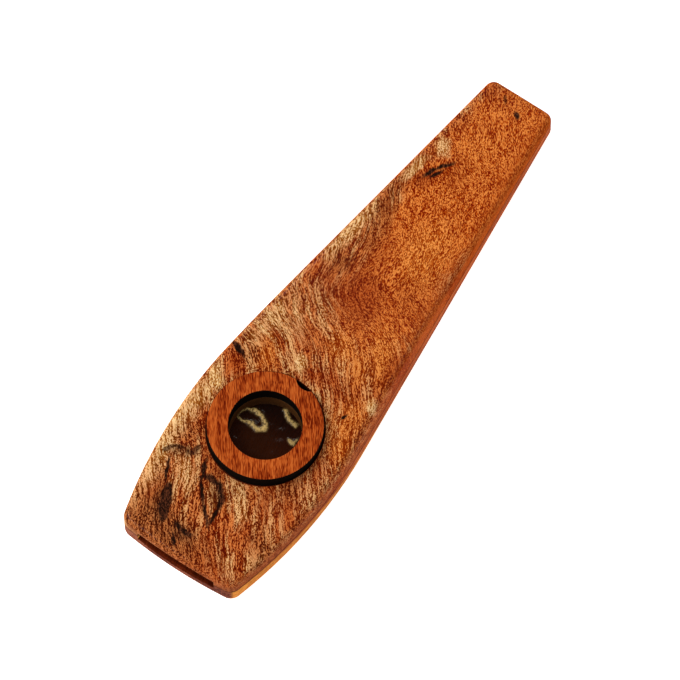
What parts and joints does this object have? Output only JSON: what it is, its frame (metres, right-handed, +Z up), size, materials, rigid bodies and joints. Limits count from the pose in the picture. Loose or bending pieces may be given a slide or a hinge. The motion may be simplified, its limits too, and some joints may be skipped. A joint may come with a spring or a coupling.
{
  "type": "kazoo",
  "caption": "Wooden kazoo: a flat hollow paddle-shaped body with a mouth slot, a narrow outlet end and a film membrane held in its top by a push-in ring.",
  "frame": {"origin": "centre of the flat back, on the surface that the kazoo rests on", "axes": "+X along the instrument from the mouth end to the narrow outlet end, +Z up out of the top through the membrane"},
  "size_m": [0.126, 0.0356, 0.0123],
  "materials": {
    "figured_wood": "oiled and polished burl-figured hardwood, golden tan to red brown with dark inclusions",
    "back_wood": "oiled plain straight-grained hardwood, orange brown",
    "film": "clear glossy crinkled film",
    "ring_wood": "fine-flecked mahogany brown with burnt black cut edges"
  },
  "bodies": {
    "body": {"upper_shell": "figured_wood", "back_shell": "back_wood"},
    "ring": {"clamp_ring": "ring_wood"},
    "film": {"membrane": "film"}
  },
  "joints": [
    {"name": "ring_lift", "type": "slide", "parent": "body", "child": "ring", "axis": [0, 0, 1], "range_m": [0, 0.02]},
    {"name": "membrane_lift", "type": "slide", "parent": "body", "child": "film", "axis": [0, 0, 1], "range_m": [0, 0.01]}
  ],
  "couplings": [
    {"joint": "membrane_lift", "follows": "ring_lift", "ratio": 0.5}
  ]
}
